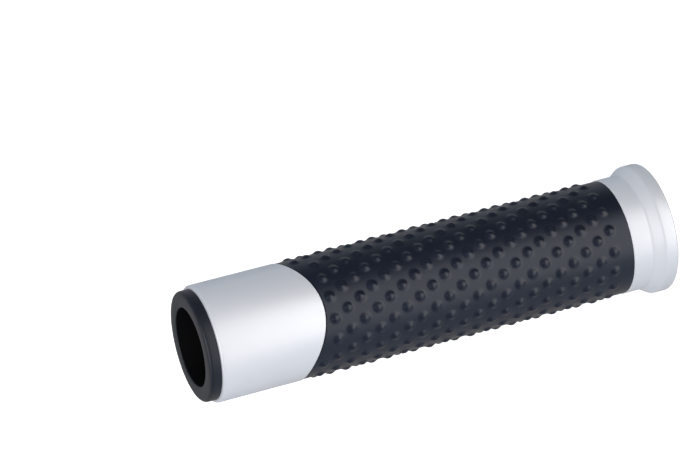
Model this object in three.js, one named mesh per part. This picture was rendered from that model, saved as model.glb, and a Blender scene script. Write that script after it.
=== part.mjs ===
// A bicycle handlebar grip: a studded rubber sleeve between two silver shells, on a hard core.
//
// Millimetres. +Z runs along the bore, from the flange to the bar end. The origin is the centre
// of the flange's face, on which the grip stands. -Y is the side that a long tongue of the end
// sleeve faces.

import * as THREE from 'three';

// Sizes of the whole grip
const gripLength = 139.5;
const barDiameter = 22.2;

// The core: a tube with a ring at the bar end and a stepped cup inside the flange
const coreWall = 1.9;
const endRingStep = 0.95;
const endRingHeight = 3.2;
const endRingRound = 1.0;
const cupLipHeight = 1.4;
const cupWall = 1.4;
const cupHeight = 4.2;
const counterboreStep = 2.5;
const counterboreDepth = 2.8;
const boreChamfer = 0.4;

// The silver shells. The flange reaches out past the shells, its rim closes round the cup, and
// its back slopes down to the collar.
const shellWall = 3.2;
const shellRound = 0.8;
const lipRound = 0.3;
const flangeReach = 2.0;
const flangeThickness = 3.9;
const flangeRound = 0.5;
const rimWall = 1.4;
const slopeHeight = 2.9;
const slopeRound = 0.5;
const collarHeight = 12.8;

// The wave where the end sleeve meets the rubber: two tongues and two valleys round the grip
const waveMean = 31.4;
const waveSwing = 3.2;
const wavesRound = 2;

// The rubber sleeve lies a little below the shells, and its studs stand above them. The first
// ring of studs is measured from the collar's edge.
const rubberStep = 0.2;
const studDiameter = 2.4;
const studTopDiameter = 1.2;
const studHeight = 0.55;
const footSides = 6;
const topSides = footSides / 2;
const studsPerRing = 17;
const ringSpacing = 4.19;
const firstRingStep = 5.8;
const firstStudAngle = -Math.PI / 2;
const studToSeam = 2.5;

// Fits
const bondGap = 0.3;
const seamGap = 0.3;

// Fineness of the surfaces
const turnedSegments = 40;
const arcSegments = 3;
const cornerSegments = 2;

const gripMaterials = {
  core: new THREE.MeshStandardMaterial({ color: 0x2a2b2f, roughness: 0.55, metalness: 0 }),
  silver: new THREE.MeshStandardMaterial({ color: 0xc6ccd6, roughness: 0.35, metalness: 0.6 }),
  rubber: new THREE.MeshStandardMaterial({ color: 0x2b2d34, roughness: 0.7, metalness: 0 }),
};

// The tube of the core, and the bores that slide over it with room for the bond
const boreRadius = barDiameter / 2;
const coreRadius = boreRadius + coreWall;
const sleeveBoreRadius = coreRadius + bondGap;
const shellRadius = sleeveBoreRadius + shellWall;
const rubberRadius = shellRadius - rubberStep;
const endSleeveTop = gripLength - endRingHeight;
const firstRingHeight = collarHeight + firstRingStep;

// The cup and its lip, from the bore out, and the socket in the flange that takes them
const counterboreRadius = boreRadius + counterboreStep;
const cupRadius = counterboreRadius + cupWall;
const cupSocketRadius = cupRadius + bondGap;
const flangeRadius = shellRadius + flangeReach;
const lipSocketRadius = flangeRadius - rimWall;
const cupLipRadius = lipSocketRadius - bondGap;

// Points on a quarter of an ellipse, from one end to the other. Its centre is (r, z), and the two
// reaches give the way and the distance from the centre to the first and the last point.
function quarter(r, z, firstReach, lastReach, steps) {
  const points = [];
  for (let step = 0; step <= steps; step += 1) {
    const turn = (step / steps) * (Math.PI / 2);
    const first = Math.cos(turn);
    const last = Math.sin(turn);
    points.push(
      new THREE.Vector2(
        r + firstReach[0] * first + lastReach[0] * last,
        z + firstReach[1] * first + lastReach[1] * last,
      ),
    );
  }
  return points;
}

// Points on a soft bend that cuts a corner short. It starts and ends at a reach from the corner.
function softCorner(before, corner, after, reach) {
  const start = before.clone().sub(corner).setLength(reach).add(corner);
  const end = after.clone().sub(corner).setLength(reach).add(corner);
  return new THREE.QuadraticBezierCurve(start, corner, end).getPoints(cornerSegments);
}

// A body turned about Z from an outline in (r, z) that goes up outside and down inside.
function turned(outline) {
  const closed = [...outline, outline[0].clone()];
  const geometry = new THREE.LatheGeometry(closed, turnedSegments);
  geometry.rotateX(Math.PI / 2);
  return geometry;
}

// A body over rings of points that closes on itself. Each ring is a function of the angle that
// gives a radius and a height, and the rings go up outside and down inside.
function lofted(rings, segments) {
  const positions = [];
  const faces = [];
  for (const ring of rings) {
    for (let segment = 0; segment < segments; segment += 1) {
      const angle = (segment / segments) * 2 * Math.PI;
      const [radius, height] = ring(angle);
      positions.push(radius * Math.cos(angle), radius * Math.sin(angle), height);
    }
  }
  for (let ring = 0; ring < rings.length; ring += 1) {
    const low = ring * segments;
    const high = ((ring + 1) % rings.length) * segments;
    for (let segment = 0; segment < segments; segment += 1) {
      const next = (segment + 1) % segments;
      faces.push(low + segment, low + next, high + next);
      faces.push(low + segment, high + next, high + segment);
    }
  }
  return meshGeometry(positions, faces);
}

function meshGeometry(positions, faces) {
  const geometry = new THREE.BufferGeometry();
  geometry.setAttribute('position', new THREE.Float32BufferAttribute(positions, 3));
  geometry.setIndex(faces);
  geometry.computeVertexNormals();
  return geometry;
}

// Height of the seam between the end sleeve and the rubber at an angle round the grip.
function seamHeight(angle) {
  return gripLength - waveMean + waveSwing * Math.cos(wavesRound * angle);
}

// The core, from its cup in the flange to its ring at the bar end. Its height is measured from
// the flange's face. The bar slides in through the cup, whose counterbore clears the end of it.
function coreTube() {
  const ringRadius = shellRadius - endRingStep;
  const outline = [
    new THREE.Vector2(counterboreRadius, 0),
    new THREE.Vector2(cupLipRadius - boreChamfer, 0),
    new THREE.Vector2(cupLipRadius, boreChamfer),
    new THREE.Vector2(cupLipRadius, cupLipHeight),
    new THREE.Vector2(cupRadius, cupLipHeight),
    new THREE.Vector2(cupRadius, cupHeight),
    new THREE.Vector2(coreRadius, cupHeight),
    new THREE.Vector2(coreRadius, endSleeveTop),
    new THREE.Vector2(ringRadius, endSleeveTop),
    ...quarter(
      ringRadius - endRingRound,
      gripLength - endRingRound,
      [endRingRound, 0],
      [0, endRingRound],
      arcSegments,
    ),
    new THREE.Vector2(boreRadius + boreChamfer, gripLength),
    new THREE.Vector2(boreRadius, gripLength - boreChamfer),
    new THREE.Vector2(boreRadius, counterboreDepth),
    new THREE.Vector2(counterboreRadius, counterboreDepth),
  ];
  return turned(outline);
}

// The silver collar behind the flange, up to the plane where the rubber starts. A straight slope
// runs from the rim of the flange down to the collar, with a soft bend at either end.
function flangeCollar() {
  const rimStart = new THREE.Vector2(flangeRadius, flangeRound);
  const rimEnd = new THREE.Vector2(flangeRadius, flangeThickness);
  const slopeEnd = new THREE.Vector2(shellRadius, flangeThickness + slopeHeight);
  const collarEnd = new THREE.Vector2(shellRadius, collarHeight - lipRound);
  const outline = [
    new THREE.Vector2(lipSocketRadius, 0),
    ...quarter(
      flangeRadius - flangeRound,
      flangeRound,
      [0, -flangeRound],
      [flangeRound, 0],
      arcSegments,
    ),
    ...softCorner(rimStart, rimEnd, slopeEnd, slopeRound),
    ...softCorner(rimEnd, slopeEnd, collarEnd, slopeRound),
    collarEnd,
    new THREE.Vector2(shellRadius - lipRound, collarHeight),
    new THREE.Vector2(sleeveBoreRadius, collarHeight),
    new THREE.Vector2(sleeveBoreRadius, cupHeight + bondGap),
    new THREE.Vector2(cupSocketRadius, cupHeight + bondGap),
    new THREE.Vector2(cupSocketRadius, cupLipHeight + bondGap),
    new THREE.Vector2(lipSocketRadius, cupLipHeight + bondGap),
  ];
  return turned(outline);
}

// The silver sleeve at the bar end. Its far edge follows the wave and has a rounded lip.
function endSleeve() {
  const top = quarter(
    shellRadius - shellRound,
    endSleeveTop - shellRound,
    [shellRound, 0],
    [0, shellRound],
    arcSegments,
  );
  const lip = quarter(
    shellRadius - lipRound,
    lipRound,
    [0, -lipRound],
    [lipRound, 0],
    arcSegments,
  );
  const rings = [
    (angle) => [sleeveBoreRadius, seamHeight(angle)],
    ...lip.map((point) => (angle) => [point.x, seamHeight(angle) + point.y]),
    ...top.map((point) => () => [point.x, point.y]),
    () => [sleeveBoreRadius, endSleeveTop],
  ];
  return lofted(rings, turnedSegments);
}

// The rubber sleeve. Its wall is a lattice of cells, one for each stud, and each ring of studs is
// turned by a third of a pitch from the one below it. Above the last whole ring, the cells reach
// up to the seam, and they have a stud only where the seam leaves room for it.
function gripSleeve() {
  const positions = [];
  const faces = [];
  const studPitch = (2 * Math.PI) / studsPerRing;
  const ringTurn = -studPitch / 3;
  const columns = 2 * studsPerRing;
  const lowestSeam = gripLength - waveMean - waveSwing - seamGap;
  const wholeRings = Math.floor((lowestSeam - firstRingHeight) / ringSpacing + 1 / 2);

  const point = (r, angle, height) => {
    positions.push(r * Math.cos(angle), r * Math.sin(angle), height);
    return positions.length / 3 - 1;
  };
  const quad = (a, b, c, d) => faces.push(a, b, c, a, c, d);
  const ringHeight = (ring) => firstRingHeight + ring * ringSpacing;
  const columnAngle = (ring, column) =>
    firstStudAngle + ring * ringTurn + (column * studPitch) / 2;

  // One row of points round the grip, at a place in the lattice between two rings of studs.
  const row = (ring, r, height) => {
    const points = [];
    for (let column = 0; column < columns; column += 1) {
      const angle = columnAngle(ring, column);
      points.push(point(r, angle, height(angle)));
    }
    return points;
  };

  // A plain band of wall between two rows.
  const band = (low, high) => {
    for (let column = 0; column < columns; column += 1) {
      const next = (column + 1) % columns;
      quad(low[column], low[next], high[next], high[column]);
    }
  };

  // A stud on the wall: a six-sided foot inside its cell, narrowing to a small flat top. Both
  // start at the corner that points to the cell's first corner, low on the left.
  const stud = (ring, index, cell) => {
    const centre = columnAngle(ring, 2 * index);
    const firstCorner = (-3 / 4) * Math.PI;
    const polygon = (sides, diameter, r) => {
      const points = [];
      for (let side = 0; side < sides; side += 1) {
        const turn = firstCorner + (2 * Math.PI * side) / sides;
        const across = (diameter / 2) * Math.cos(turn);
        const along = (diameter / 2) * Math.sin(turn);
        points.push(point(r, centre + across / rubberRadius, ringHeight(ring) + along));
      }
      return points;
    };
    const foot = polygon(footSides, studDiameter, rubberRadius);
    const top = polygon(topSides, studTopDiameter, rubberRadius + studHeight);
    for (let side = 0; side < footSides; side += 1) {
      const next = (side + 1) % footSides;
      quad(cell[side], cell[next], foot[next], foot[side]);
    }
    for (let corner = 0; corner < topSides; corner += 1) {
      const nextCorner = (corner + 1) % topSides;
      const side = 2 * corner;
      faces.push(foot[side], foot[side + 1], top[corner]);
      faces.push(foot[side + 1], top[nextCorner], top[corner]);
      faces.push(foot[side + 1], foot[(side + 2) % footSides], top[nextCorner]);
    }
    faces.push(top[0], top[1], top[2]);
  };

  // The cells of one ring, between the row below it and the row above it.
  const cells = (ring, low, high) => {
    for (let index = 0; index < studsPerRing; index += 1) {
      const middle = 2 * index;
      const left = (middle + columns - 1) % columns;
      const right = middle + 1;
      const room = seamHeight(columnAngle(ring, middle)) - ringHeight(ring);
      if (room > studToSeam) {
        const cell = [low[left], low[middle], low[right], high[right], high[middle], high[left]];
        stud(ring, index, cell);
      } else {
        quad(low[left], low[middle], high[middle], high[left]);
        quad(low[middle], low[right], high[right], high[middle]);
      }
    }
  };

  const firstHalf = -1 / 2;
  const lastHalf = wholeRings + 1 / 2;
  const innerLow = row(firstHalf, sleeveBoreRadius, () => collarHeight);
  const outerLow = row(firstHalf, rubberRadius, () => collarHeight);
  let below = row(firstHalf, rubberRadius, () => ringHeight(firstHalf));
  band(innerLow, outerLow);
  band(outerLow, below);
  for (let ring = 0; ring < wholeRings; ring += 1) {
    const above = row(ring + 1 / 2, rubberRadius, () => ringHeight(ring + 1 / 2));
    cells(ring, below, above);
    below = above;
  }
  const seam = (angle) => seamHeight(angle) - seamGap;
  const outerHigh = row(lastHalf, rubberRadius, seam);
  const innerHigh = row(lastHalf, sleeveBoreRadius, seam);
  cells(wholeRings, below, outerHigh);
  band(outerHigh, innerHigh);

  // The bore's upper row is counted from the column nearest above the lower row's first one.
  const twist = ((firstHalf - lastHalf) * ringTurn) / (studPitch / 2);
  const innerHighAbove = innerHigh.map((_, column) => {
    return innerHigh[(column + Math.round(twist)) % columns];
  });
  band(innerHighAbove, innerLow);
  return meshGeometry(positions, faces);
}

function piece(name, geometry, material) {
  const mesh = new THREE.Mesh(geometry, material);
  mesh.name = name;
  return mesh;
}

const grip = new THREE.Group();
grip.add(piece('core_tube', coreTube(), gripMaterials.core));
grip.add(piece('flange_collar', flangeCollar(), gripMaterials.silver));
grip.add(piece('grip_sleeve', gripSleeve(), gripMaterials.rubber));
grip.add(piece('end_sleeve', endSleeve(), gripMaterials.silver));

export default grip;
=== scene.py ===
# %% [markdown]
# # A handlebar grip with a studded rubber sleeve
#
# A grip is a stack of tubes. A hard core slides onto the bar, a soft sleeve with small round studs
# goes over the core, and two silver shells hold the sleeve between them: a flanged collar on the
# hand's inner side and a plain sleeve with a wavy edge at the bar end.
#
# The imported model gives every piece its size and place. This lesson gives each one its finished
# surface. It works in metres, in the model's own frame: the grip stands on its flange, the bore
# runs up the Z axis, and one long tongue of the end sleeve faces -Y.

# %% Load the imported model
from math import cos, pi, radians, sin

import bpy
import numpy as np
from mathutils import Matrix, Vector


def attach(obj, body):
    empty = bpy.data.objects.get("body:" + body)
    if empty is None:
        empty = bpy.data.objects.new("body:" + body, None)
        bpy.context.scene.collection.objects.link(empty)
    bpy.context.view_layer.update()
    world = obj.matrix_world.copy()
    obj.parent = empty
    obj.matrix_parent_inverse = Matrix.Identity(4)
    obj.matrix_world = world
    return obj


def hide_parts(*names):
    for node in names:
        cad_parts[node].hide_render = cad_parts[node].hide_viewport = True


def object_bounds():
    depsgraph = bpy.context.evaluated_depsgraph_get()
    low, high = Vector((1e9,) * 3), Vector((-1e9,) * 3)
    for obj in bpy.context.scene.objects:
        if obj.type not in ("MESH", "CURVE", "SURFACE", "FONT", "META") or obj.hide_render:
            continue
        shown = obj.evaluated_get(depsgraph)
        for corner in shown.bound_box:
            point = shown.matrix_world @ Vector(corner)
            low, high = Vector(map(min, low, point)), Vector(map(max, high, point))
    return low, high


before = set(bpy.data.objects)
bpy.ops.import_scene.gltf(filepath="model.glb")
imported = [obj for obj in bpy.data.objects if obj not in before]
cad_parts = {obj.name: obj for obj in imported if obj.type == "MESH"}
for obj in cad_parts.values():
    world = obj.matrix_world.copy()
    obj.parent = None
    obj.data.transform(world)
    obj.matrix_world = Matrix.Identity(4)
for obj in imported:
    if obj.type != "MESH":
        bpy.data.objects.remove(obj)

cad_low, cad_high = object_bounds()
MM = 0.001
GRIP_LENGTH = cad_high.z
print("grip length", round(GRIP_LENGTH / MM, 2), "mm")

# %% [markdown]
# ## The view
#
# The photograph shows the grip from the bar end, lying to the right and away. The model stands
# upright, so the camera is rolled by a little more than a quarter turn instead. It is a long lens
# nearly a metre away, as for a small product, so the tube narrows only slightly with distance.

# %% Camera
AIM = Vector((22.3, 3.1, 87.5)) * MM
CAMERA_DISTANCE = 0.9716
CAMERA_AZIMUTH = radians(-7.16)
CAMERA_ELEVATION = radians(18.37)
CAMERA_ROLL = radians(104.31)
LENS = 185.3

towards_camera = Vector((
    sin(CAMERA_AZIMUTH) * cos(CAMERA_ELEVATION),
    -cos(CAMERA_AZIMUTH) * cos(CAMERA_ELEVATION),
    sin(CAMERA_ELEVATION),
))
bpy.ops.object.camera_add(location=AIM + towards_camera * CAMERA_DISTANCE)
camera = bpy.context.object
camera.name = "camera"
camera.data.lens = LENS
level_view = (-towards_camera).to_track_quat("-Z", "Y").to_matrix()
camera.rotation_euler = (level_view @ Matrix.Rotation(-CAMERA_ROLL, 3, "Z")).to_euler()
bpy.context.scene.camera = camera
bpy.context.scene.view_settings.view_transform = "Standard"
print("camera at", [round(value, 3) for value in camera.location])

# %% [markdown]
# ## Small helpers for materials
#
# Colours are written as they look on a screen, in sRGB hex, and shaders want them linear, so one
# function turns them. Another adds a node, sets it up and links it, which keeps each material short
# enough to read from top to bottom.

# %% Colour and node helpers
def linear(hex_colour):
    channels = []
    for start in (1, 3, 5):
        value = int(hex_colour[start:start + 2], 16) / 255
        channels.append(value / 12.92 if value <= 0.04045 else ((value + 0.055) / 1.055) ** 2.4)
    return (*channels, 1.0)


def add_node(tree, kind, inputs=None, **settings):
    node = tree.nodes.new(kind)
    for name, value in settings.items():
        setattr(node, name, value)
    for socket, value in (inputs or {}).items():
        if isinstance(value, bpy.types.NodeSocket):
            tree.links.new(value, node.inputs[socket])
        else:
            node.inputs[socket].default_value = value
    return node


def start_material(name):
    material = bpy.data.materials.new(name)
    material.use_nodes = True
    tree = material.node_tree
    shader = tree.nodes["Principled BSDF"]
    place = add_node(tree, "ShaderNodeTexCoord").outputs["Object"]
    return material, tree, shader, place


print("mid grey in linear light", [round(value, 3) for value in linear("#808080")])

# %% [markdown]
# ## Silver shells: satin paint on a smooth moulding
#
# The shells are moulded plastic with metallic paint: fine aluminium flakes in a clear binder. The
# flakes lie nearly flat and each one is tilted a little, so the highlight is broad and soft, and
# close up the surface has a very fine grain. It isn't bare metal, so part of the light comes back
# as plain diffuse colour, and the darker side never goes black.

# %% Silver paint
FLAKE_SIZE = 0.25 * MM
CLOUD_SIZE = 14 * MM


def silver_paint():
    material, tree, shader, place = start_material("satin_silver_paint")
    flakes = add_node(tree, "ShaderNodeTexNoise", {
        "Vector": place,
        "Scale": 1 / FLAKE_SIZE,
        "Detail": 2.0,
    })
    cloud = add_node(tree, "ShaderNodeTexNoise", {
        "Vector": place,
        "Scale": 1 / CLOUD_SIZE,
        "Detail": 2.0,
    })
    tone = add_node(tree, "ShaderNodeMix", {
        0: cloud.outputs["Fac"],
        6: linear("#cccdd0"),
        7: linear("#d4d4d7"),
    }, data_type="RGBA")
    roughness = add_node(tree, "ShaderNodeMapRange", {
        "Value": flakes.outputs["Fac"],
        "To Min": 0.38,
        "To Max": 0.46,
    })
    grain = add_node(tree, "ShaderNodeBump", {
        "Height": flakes.outputs["Fac"],
        "Strength": 0.06,
        "Distance": 0.02 * MM,
    })
    tree.links.new(tone.outputs[2], shader.inputs["Base Color"])
    tree.links.new(roughness.outputs["Result"], shader.inputs["Roughness"])
    tree.links.new(grain.outputs["Normal"], shader.inputs["Normal"])
    shader.inputs["Metallic"].default_value = 0.3
    return material


SILVER_PAINT = silver_paint()
print("made", SILVER_PAINT.name)

# %% [markdown]
# ## Sleeve: moulded grip rubber
#
# Grip rubber comes out of a lightly blasted mould with a soft sheen. It is a blue-black, a little
# lighter where it is rubbed, and its surface has a fine grain from the mould. The real grain is
# near a tenth of a millimetre and wouldn't show, so it is drawn about five times as coarse.

# %% Grip rubber
MOULD_GRAIN = 0.5 * MM
BLOOM_SIZE = 9 * MM


def grip_rubber():
    material, tree, shader, place = start_material("moulded_grip_rubber")
    grain = add_node(tree, "ShaderNodeTexNoise", {
        "Vector": place,
        "Scale": 1 / MOULD_GRAIN,
        "Detail": 4.0,
    })
    bloom = add_node(tree, "ShaderNodeTexNoise", {
        "Vector": place,
        "Scale": 1 / BLOOM_SIZE,
        "Detail": 3.0,
    })
    tone = add_node(tree, "ShaderNodeMix", {
        0: bloom.outputs["Fac"],
        6: linear("#0c111d"),
        7: linear("#111725"),
    }, data_type="RGBA")
    roughness = add_node(tree, "ShaderNodeMapRange", {
        "Value": bloom.outputs["Fac"],
        "To Min": 0.32,
        "To Max": 0.38,
    })
    relief = add_node(tree, "ShaderNodeBump", {
        "Height": grain.outputs["Fac"],
        "Strength": 0.3,
        "Distance": 0.05 * MM,
    })
    tree.links.new(tone.outputs[2], shader.inputs["Base Color"])
    tree.links.new(roughness.outputs["Result"], shader.inputs["Roughness"])
    tree.links.new(relief.outputs["Normal"], shader.inputs["Normal"])
    shader.inputs["Specular IOR Level"].default_value = 0.4
    return material


GRIP_RUBBER = grip_rubber()
print("made", GRIP_RUBBER.name)

# %% [markdown]
# ## Core: moulded black nylon
#
# The core is a stiff moulding, seen only at its two ends and down the bore. Moulded nylon is a
# dark grey with a dull sheen from the fine grain of the mould. The wall of the bore is a duller
# copy, and its near-black colour and weak sheen are painted shade for the light that can't reach
# deep in the bore.

# %% Black nylon
NYLON_GRAIN = 0.4 * MM


def black_nylon(name, darker, lighter, roughness, gloss):
    material, tree, shader, place = start_material(name)
    grain = add_node(tree, "ShaderNodeTexNoise", {
        "Vector": place,
        "Scale": 1 / NYLON_GRAIN,
        "Detail": 3.0,
    })
    tone = add_node(tree, "ShaderNodeMix", {
        0: grain.outputs["Fac"],
        6: linear(darker),
        7: linear(lighter),
    }, data_type="RGBA")
    relief = add_node(tree, "ShaderNodeBump", {
        "Height": grain.outputs["Fac"],
        "Strength": 0.15,
        "Distance": 0.03 * MM,
    })
    tree.links.new(tone.outputs[2], shader.inputs["Base Color"])
    tree.links.new(relief.outputs["Normal"], shader.inputs["Normal"])
    shader.inputs["Roughness"].default_value = roughness
    shader.inputs["Specular IOR Level"].default_value = gloss
    return material


MOULDED_NYLON = black_nylon("moulded_black_nylon", "#0f131a", "#131720", 0.42, 0.4)
# The bore's copy is rougher; its near-black colour and weak sheen are painted shade for the deep
# bore.
BORE_PAINTED_SHADE_NYLON = black_nylon("bore_nylon_with_painted_shade", "#050506", "#080809", 0.6, 0.08)
print("made", MOULDED_NYLON.name, "and", BORE_PAINTED_SHADE_NYLON.name)

# %% [markdown]
# ## Turning a ring-shaped body
#
# All four pieces are bodies of revolution at heart. A lathe profile could be spun, but walking one
# ring of vertices along the profile, by extruding and resizing it, is what a modeller does by hand,
# and the last ring is then bridged to the first. The body is closed, and its seam needs no welding.

# %% Helpers for turned bodies
AROUND = 204


def quarter(radius, height, first_reach, last_reach, steps=5):
    points = []
    for step in range(steps + 1):
        turn = step / steps * pi / 2
        points.append((
            radius + first_reach[0] * cos(turn) + last_reach[0] * sin(turn),
            height + first_reach[1] * cos(turn) + last_reach[1] * sin(turn),
        ))
    return points


def soft_corner(before, corner, after, reach, steps=5):
    at = Vector(corner)
    start = at + (Vector(before) - at).normalized() * reach
    end = at + (Vector(after) - at).normalized() * reach
    points = []
    for step in range(steps + 1):
        part = step / steps
        points.append(tuple(start.lerp(at, part).lerp(at.lerp(end, part), part)))
    return points


def close_ends_and_face_out():
    bpy.ops.mesh.select_all(action="DESELECT")
    bpy.ops.mesh.select_non_manifold()
    bpy.ops.mesh.bridge_edge_loops()
    bpy.ops.mesh.select_all(action="SELECT")
    bpy.ops.mesh.normals_make_consistent(inside=False)


def turned_body(name, outline):
    bpy.ops.object.select_all(action="DESELECT")
    first_radius, first_height = outline[0]
    bpy.ops.mesh.primitive_circle_add(
        vertices=AROUND, radius=first_radius * MM, location=(0, 0, first_height * MM))
    body = bpy.context.object
    body.name = name
    bpy.ops.object.transform_apply(location=True)
    bpy.ops.object.mode_set(mode="EDIT")
    bpy.ops.mesh.select_all(action="SELECT")
    for (radius, height), (next_radius, next_height) in zip(outline, outline[1:]):
        rise = (next_height - height) * MM
        scale = next_radius / radius
        bpy.ops.mesh.extrude_region_move(TRANSFORM_OT_translate={"value": (0, 0, rise)})
        bpy.ops.transform.resize(value=(scale, scale, 1))
    close_ends_and_face_out()
    bpy.ops.object.mode_set(mode="OBJECT")
    return body


def finish_piece(piece, material, node, crease=40):
    bpy.ops.object.select_all(action="DESELECT")
    piece.select_set(True)
    bpy.context.view_layer.objects.active = piece
    bpy.ops.object.shade_smooth_by_angle(angle=radians(crease))
    piece.data.materials.clear()
    piece.data.materials.append(material)
    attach(piece, "root")
    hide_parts(node)
    low = [min(vertex.co[axis] for vertex in piece.data.vertices) / MM for axis in range(3)]
    high = [max(vertex.co[axis] for vertex in piece.data.vertices) / MM for axis in range(3)]
    faces = len(piece.data.polygons)
    print(piece.name, faces, "faces", [round(v, 2) for v in low], [round(v, 2) for v in high])


# %% [markdown]
# ## The core
#
# The core shows as a black ring with a rounded shoulder at the bar end, and as a dark cup inside
# the flange, with a counterbore that leads the bar in. Its sizes in millimetres are the real
# piece's. The small bevels are the radii that a mould leaves on every edge.

# %% Core with its bore, end ring and cup
BORE_RADIUS = 11.1
BORE_WALL_MARGIN = 0.05
CORE_RADIUS = 13.0
END_RING_RADIUS = 15.55
END_RING_HEIGHT = 3.2
END_RING_ROUND = 1.0
CUP_LIP_RADIUS = 16.8
CUP_LIP_HEIGHT = 1.4
CUP_RADIUS = 15.0
CUP_HEIGHT = 4.2
COUNTERBORE_RADIUS = 13.6
COUNTERBORE_DEPTH = 2.8
EDGE_ROUND = 0.4
length = GRIP_LENGTH / MM
end_sleeve_top = length - END_RING_HEIGHT

core_outline = [
    (COUNTERBORE_RADIUS, EDGE_ROUND / 2),
    (COUNTERBORE_RADIUS + EDGE_ROUND / 2, 0),
    *quarter(CUP_LIP_RADIUS - EDGE_ROUND, EDGE_ROUND, (0, -EDGE_ROUND), (EDGE_ROUND, 0), 3),
    (CUP_LIP_RADIUS, CUP_LIP_HEIGHT),
    (CUP_RADIUS, CUP_LIP_HEIGHT),
    (CUP_RADIUS, CUP_HEIGHT),
    (CORE_RADIUS, CUP_HEIGHT),
    (CORE_RADIUS, end_sleeve_top),
    (END_RING_RADIUS, end_sleeve_top),
    *quarter(
        END_RING_RADIUS - END_RING_ROUND, length - END_RING_ROUND,
        (END_RING_ROUND, 0), (0, END_RING_ROUND)),
    *quarter(
        BORE_RADIUS + EDGE_ROUND, length - EDGE_ROUND, (0, EDGE_ROUND), (-EDGE_ROUND, 0), 3),
    (BORE_RADIUS, COUNTERBORE_DEPTH + EDGE_ROUND / 2),
    (BORE_RADIUS + EDGE_ROUND / 2, COUNTERBORE_DEPTH),
    (COUNTERBORE_RADIUS, COUNTERBORE_DEPTH),
]
core = turned_body("core", core_outline)
finish_piece(core, MOULDED_NYLON, "core_tube")

# %% The bore's wall: duller nylon with painted shade
core.data.materials.append(BORE_PAINTED_SHADE_NYLON)
# Painted shade: the faces on the bore's wall get the near-black copy of the nylon.
painted_shade_bore_faces = [
    face for face in core.data.polygons
    if face.center.xy.length < (BORE_RADIUS + BORE_WALL_MARGIN) * MM
]
for face in painted_shade_bore_faces:
    face.material_index = 1
print("faces on the bore's wall", len(painted_shade_bore_faces))

# %% [markdown]
# ## The flanged collar
#
# The collar is the first silver shell. Behind the flange's rim a straight slope runs down to a
# plain cylinder, with a soft bend at either end, and the rubber starts at the cylinder's far end.
# Each corner has a small radius that catches the light as a thin bright line.

# %% Collar
SLEEVE_BORE_RADIUS = 13.3
SHELL_RADIUS = 16.5
LIP_ROUND = 0.3
FLANGE_RADIUS = 18.5
FLANGE_THICKNESS = 3.9
FLANGE_ROUND = 0.5
SLOPE_HEIGHT = 2.9
SLOPE_ROUND = 0.5
COLLAR_HEIGHT = 12.8
SOCKET_GAP = 0.3

rim_start = (FLANGE_RADIUS, FLANGE_ROUND)
rim_end = (FLANGE_RADIUS, FLANGE_THICKNESS)
slope_end = (SHELL_RADIUS, FLANGE_THICKNESS + SLOPE_HEIGHT)
collar_end = (SHELL_RADIUS, COLLAR_HEIGHT - LIP_ROUND)
collar_outline = [
    (CUP_LIP_RADIUS + SOCKET_GAP, 0),
    *quarter(FLANGE_RADIUS - FLANGE_ROUND, FLANGE_ROUND, (0, -FLANGE_ROUND), (FLANGE_ROUND, 0)),
    *soft_corner(rim_start, rim_end, slope_end, SLOPE_ROUND),
    *soft_corner(rim_end, slope_end, collar_end, SLOPE_ROUND),
    *quarter(SHELL_RADIUS - LIP_ROUND, COLLAR_HEIGHT - LIP_ROUND, (LIP_ROUND, 0), (0, LIP_ROUND)),
    (SLEEVE_BORE_RADIUS, COLLAR_HEIGHT),
    (SLEEVE_BORE_RADIUS, CUP_HEIGHT + SOCKET_GAP),
    (CUP_RADIUS + SOCKET_GAP, CUP_HEIGHT + SOCKET_GAP),
    (CUP_RADIUS + SOCKET_GAP, CUP_LIP_HEIGHT + SOCKET_GAP),
    (CUP_LIP_RADIUS + SOCKET_GAP, CUP_LIP_HEIGHT + SOCKET_GAP),
]
collar = turned_body("collar", collar_outline)
finish_piece(collar, SILVER_PAINT, "flange_collar")

# %% [markdown]
# ## The end sleeve and its wave
#
# The far edge of the end sleeve waves round the grip in two tongues and two valleys. The sleeve is
# turned with a straight edge first, and then the rings of its lip are moved up and down by the
# wave, which keeps the lip's round section the same all the way.

# %% End sleeve
SHELL_ROUND = 0.8
WAVE_MEAN = 31.4
WAVE_SWING = 3.2
WAVES_ROUND = 2
LIP_MARGIN = 1.01


def seam_height(angle):
    return length - WAVE_MEAN + WAVE_SWING * np.cos(WAVES_ROUND * angle)


def vertex_places(mesh):
    places = np.empty(len(mesh.vertices) * 3)
    mesh.vertices.foreach_get("co", places)
    return places.reshape(-1, 3)


def set_vertex_places(mesh, places):
    mesh.vertices.foreach_set("co", places.ravel())
    mesh.update()


straight_edge = length - WAVE_MEAN
end_outline = [
    (SLEEVE_BORE_RADIUS, straight_edge),
    *[
        (radius, straight_edge + height)
        for radius, height in quarter(
            SHELL_RADIUS - LIP_ROUND, LIP_ROUND, (0, -LIP_ROUND), (LIP_ROUND, 0))
    ],
    *quarter(
        SHELL_RADIUS - SHELL_ROUND, end_sleeve_top - SHELL_ROUND,
        (SHELL_ROUND, 0), (0, SHELL_ROUND)),
    (SLEEVE_BORE_RADIUS, end_sleeve_top),
]
end_sleeve = turned_body("end_sleeve_shell", end_outline)
places = vertex_places(end_sleeve.data)
on_lip = places[:, 2] < (straight_edge + LIP_ROUND * LIP_MARGIN) * MM
lip_angles = np.arctan2(places[on_lip, 1], places[on_lip, 0])
places[on_lip, 2] += (seam_height(lip_angles) - straight_edge) * MM
set_vertex_places(end_sleeve.data, places)
finish_piece(end_sleeve, SILVER_PAINT, "end_sleeve")

# %% [markdown]
# ## The studded rubber sleeve
#
# The studs stand in rings, and each ring is turned by a third of a stud's pitch from the one below,
# so they line up in slanting rows. They could be hundreds of small domes set on a tube, but a
# moulded stud grows out of its wall with a soft foot. So the sleeve starts as a flat sheet of
# rubber with a fine grid, the studs are raised out of it, and the sheet is rolled up into a tube.
# Its two edges are then turned in and joined to make the wall.

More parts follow.
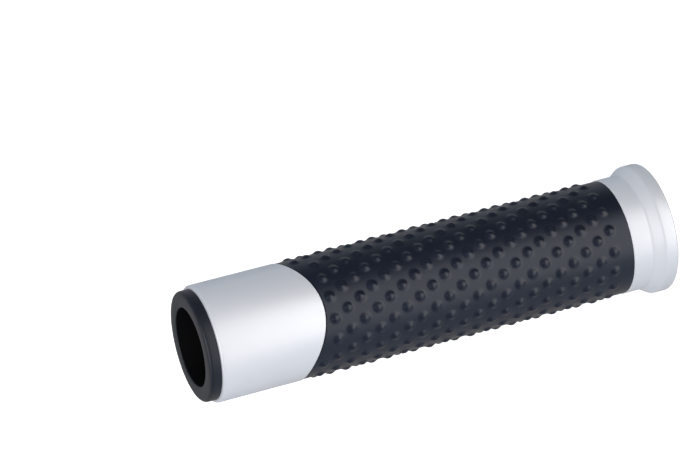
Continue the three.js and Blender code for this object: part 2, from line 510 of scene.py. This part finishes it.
# %% Stud pattern
RUBBER_RADIUS = 16.3
STUD_RADIUS = 1.8
STUD_TOP = 0.15
STUD_HEIGHT = 0.6
STUDS_PER_RING = 17
RING_SPACING = 4.19
FIRST_RING_HEIGHT = 18.6
FIRST_STUD_ANGLE = -pi / 2
STUD_TO_SEAM = 2.5
SEAM_GAP = 0.3
STUD_PITCH = 2 * pi / STUDS_PER_RING
RING_TURN = -STUD_PITCH / 3


def stud_relief(angle, height):
    ring = np.maximum(np.round((height - FIRST_RING_HEIGHT) / RING_SPACING), 0)
    steps = (angle - FIRST_STUD_ANGLE - ring * RING_TURN) / STUD_PITCH
    across = (steps - np.round(steps)) * STUD_PITCH * RUBBER_RADIUS
    ring_height = FIRST_RING_HEIGHT + ring * RING_SPACING
    stud_angle = FIRST_STUD_ANGLE + ring * RING_TURN + np.round(steps) * STUD_PITCH
    has_room = seam_height(stud_angle) - ring_height > STUD_TO_SEAM
    distance = np.hypot(across, height - ring_height) / STUD_RADIUS
    downhill = np.clip((distance - STUD_TOP) / (1 - STUD_TOP), 0, 1)
    dome = 1 - downhill ** 2 * (3 - 2 * downhill)
    return STUD_HEIGHT * dome * has_room


# %% Sleeve
COLUMNS_PER_STUD = 18
SHEET_COLUMNS = COLUMNS_PER_STUD * STUDS_PER_RING
SHEET_ROWS = 282
WELD_DISTANCE = 0.02 * MM

bpy.ops.object.select_all(action="DESELECT")
bpy.ops.mesh.primitive_grid_add(
    x_subdivisions=SHEET_COLUMNS, y_subdivisions=SHEET_ROWS, size=1, location=(0, 0, 0))
rubber = bpy.context.object
rubber.name = "rubber_sleeve"
sheet = vertex_places(rubber.data) + np.array((0.5, 0.5, 0))
angles = sheet[:, 0] * 2 * pi
heights = COLLAR_HEIGHT + sheet[:, 1] * (seam_height(angles) - SEAM_GAP - COLLAR_HEIGHT)
radii = RUBBER_RADIUS + stud_relief(angles, heights)
rolled = np.stack((radii * np.cos(angles), radii * np.sin(angles), heights), axis=1) * MM
set_vertex_places(rubber.data, rolled)

bpy.ops.object.mode_set(mode="EDIT")
bpy.ops.mesh.select_all(action="SELECT")
bpy.ops.mesh.remove_doubles(threshold=WELD_DISTANCE)
bpy.ops.mesh.select_all(action="DESELECT")
bpy.ops.mesh.select_non_manifold()
bpy.ops.mesh.extrude_region_move()
turn_in = SLEEVE_BORE_RADIUS / RUBBER_RADIUS
bpy.ops.transform.resize(value=(turn_in, turn_in, 1))
close_ends_and_face_out()
bpy.ops.object.mode_set(mode="OBJECT")
finish_piece(rubber, GRIP_RUBBER, "grip_sleeve")

# %% [markdown]
# ## Floor and light
#
# The grip stands on a plain white floor. The camera looks down at it, so the floor fills the whole
# picture, and to the camera it is close to pure white. Four large soft lamps give the shape its
# plain shading: a warm key in front, two cool ones at the sides, and one behind.

# %% Floor
FLOOR_SIZE = 8.0
FLOOR_GLOW = 0.7


def white_floor():
    material = bpy.data.materials.new("white_studio_floor")
    material.use_nodes = True
    tree = material.node_tree
    tree.nodes.clear()
    seen = add_node(tree, "ShaderNodeLightPath").outputs["Is Camera Ray"]
    matte = add_node(tree, "ShaderNodeBsdfDiffuse", {"Color": linear("#d5d3d0")})
    glow = add_node(tree, "ShaderNodeEmission", {"Color": (1, 1, 1, 1), "Strength": FLOOR_GLOW})
    nothing = add_node(tree, "ShaderNodeEmission", {"Strength": 0.0})
    for_camera = add_node(tree, "ShaderNodeMixShader", {
        0: seen,
        1: nothing.outputs[0],
        2: glow.outputs[0],
    })
    surface = add_node(tree, "ShaderNodeAddShader", {0: matte.outputs[0], 1: for_camera.outputs[0]})
    add_node(tree, "ShaderNodeOutputMaterial", {"Surface": surface.outputs[0]})
    return material


bpy.ops.object.select_all(action="DESELECT")
bpy.ops.mesh.primitive_plane_add(size=FLOOR_SIZE, location=(0, 0, 0))
floor = bpy.context.object
floor.name = "floor"
floor.data.materials.append(white_floor())
floor.visible_glossy = False
print("floor", FLOOR_SIZE, "m across")

# %% Lamps
LAMP_SIZE = 1.3
WARM_WHITE = (1, 0.975, 0.93)
COOL_WHITE = (0.8, 0.9, 1)


def soft_lamp(name, azimuth, elevation, distance, power, colour):
    away = Vector((
        cos(azimuth) * cos(elevation),
        sin(azimuth) * cos(elevation),
        sin(elevation),
    ))
    target = Vector((0, 0, GRIP_LENGTH / 2))
    bpy.ops.object.light_add(type="AREA", location=target + away * distance)
    lamp = bpy.context.object
    lamp.name = name
    lamp.data.size = LAMP_SIZE
    lamp.data.energy = power
    lamp.data.color = colour
    lamp.rotation_euler = (-away).to_track_quat("-Z", "Y").to_euler()
    lamp.visible_camera = False
    lamp.visible_glossy = False


soft_lamp("key_softbox", radians(-106), radians(28), 2.2, 49.5, WARM_WHITE)
soft_lamp("right_softbox", radians(20), radians(20), 1.9, 8, COOL_WHITE)
soft_lamp("left_softbox", radians(165), radians(20), 1.9, 9, COOL_WHITE)
soft_lamp("back_softbox", radians(83), radians(25), 2.2, 20, WARM_WHITE)

# %% [markdown]
# Satin silver shows what is round it, so the world is a small studio that only glossy rays see. Its
# walls are a ring of soft cards. A white card stands in front, a nearly black gap beside it draws
# the darker flank on the tube, and the other walls are dim. On the viewer's side a dark band lies
# between the floor and the ceiling. Each stud mirrors it on the flank that faces the bar end, which
# is what makes the studs stand out. Diffuse rays see a pale room with a dimmer ceiling, and to the
# camera the room is plain white.

# %% Ring of cards round the grip
VIEW_SIDE = radians(-97)
RING_LEAN = radians(12)
BRIGHTEST_CARD = 3.3
CARD_FOOT = 0.8
WHITE_CARD = linear("#ffffff")
COOL_WALL = linear("#e0ecfb")
BACK_WALL = linear("#fbf8f6")
CARD_RING = [
    (-180, 0.42, BACK_WALL), (-140, 0.48, BACK_WALL),
    (-98, 0.9, COOL_WALL), (-60, 1.3, COOL_WALL),
    (-42, 3.3, WHITE_CARD), (24, 3.3, WHITE_CARD),
    (54, 0.1, COOL_WALL), (95, 0.05, COOL_WALL),
    (120, 0.56, COOL_WALL), (180, 0.42, BACK_WALL),
]
DARK_BAND = (0.065, 0.07, 0.08, 1)

world = bpy.data.worlds.new("white_room")
bpy.context.scene.world = world
world.use_nodes = True
room = world.node_tree
room.nodes.clear()
direction = add_node(room, "ShaderNodeTexCoord").outputs["Generated"]
from_view = add_node(room, "ShaderNodeMapping", {
    "Vector": direction,
    "Rotation": (RING_LEAN, 0, -VIEW_SIDE),
}).outputs["Vector"]
around = add_node(room, "ShaderNodeTexGradient", {"Vector": from_view}, gradient_type="RADIAL")
ring = add_node(room, "ShaderNodeValToRGB", {"Fac": around.outputs["Fac"]})
ring.color_ramp.interpolation = "EASE"
for degrees, *_ in CARD_RING[1:-1]:
    ring.color_ramp.elements.new(0.5 + degrees / 360)
for step, (degrees, brightness, colour) in zip(ring.color_ramp.elements, CARD_RING):
    step.color = (*[brightness / BRIGHTEST_CARD * channel for channel in colour[:3]], 1)
print("cards seen in the gloss", len(CARD_RING) // 2)

# %% Heights in the room
DARK_BAND_RISE = (-48, 14)
CEILING_RISE = (38, 52)
CEILING_DARKNESS = 0.15
FRONT_EDGE = (-0.7, -0.1)
CARD_FOOT_RISE = (-60, -25)
ROOM_RISE = (20, 45)
ROOM_LIGHT = (0.74, 0.25)


def height_of(degrees):
    return sin(radians(degrees))


def fade(value, start, end, before, after):
    return add_node(room, "ShaderNodeMapRange", {
        "Value": value,
        "From Min": start,
        "From Max": end,
        "To Min": before,
        "To Max": after,
    }, interpolation_type="SMOOTHSTEP").outputs["Result"]


def product(first, second):
    return add_node(room, "ShaderNodeMath", {0: first, 1: second}, operation="MULTIPLY").outputs[0]


height = add_node(room, "ShaderNodeSeparateXYZ", {"Vector": direction}).outputs["Z"]
towards_view = add_node(room, "ShaderNodeSeparateXYZ", {"Vector": from_view}).outputs["X"]
above_floor = fade(height, *map(height_of, DARK_BAND_RISE), 0, 1)
below_ceiling = fade(height, *map(height_of, CEILING_RISE), 1, CEILING_DARKNESS)
in_front = fade(towards_view, *FRONT_EDGE, 0, 1)
dark_band = product(product(above_floor, below_ceiling), in_front)
card_brightness = fade(
    height, *map(height_of, CARD_FOOT_RISE), CARD_FOOT * BRIGHTEST_CARD, BRIGHTEST_CARD)
room_brightness = fade(height, *map(height_of, ROOM_RISE), *ROOM_LIGHT)
print("dark band from", DARK_BAND_RISE, "to", CEILING_RISE, "degrees")

# %% What each kind of ray sees
ring_and_band = add_node(room, "ShaderNodeMix", {
    0: dark_band,
    6: ring.outputs["Color"],
    7: DARK_BAND,
}, data_type="RGBA")
card_ring = add_node(room, "ShaderNodeBackground", {
    "Color": ring_and_band.outputs[2],
    "Strength": card_brightness,
})
soft_room = add_node(room, "ShaderNodeBackground", {
    "Color": linear("#c2d4f0"),
    "Strength": room_brightness,
})
backdrop = add_node(room, "ShaderNodeBackground", {"Color": (1, 1, 1, 1), "Strength": 1.0})
ray = add_node(room, "ShaderNodeLightPath")
lit = add_node(room, "ShaderNodeMixShader", {
    0: ray.outputs["Is Glossy Ray"],
    1: soft_room.outputs[0],
    2: card_ring.outputs[0],
})
shown = add_node(room, "ShaderNodeMixShader", {
    0: ray.outputs["Is Camera Ray"],
    1: lit.outputs[0],
    2: backdrop.outputs[0],
})
add_node(room, "ShaderNodeOutputWorld", {"Surface": shown.outputs[0]})
print("nodes in the world", len(room.nodes))
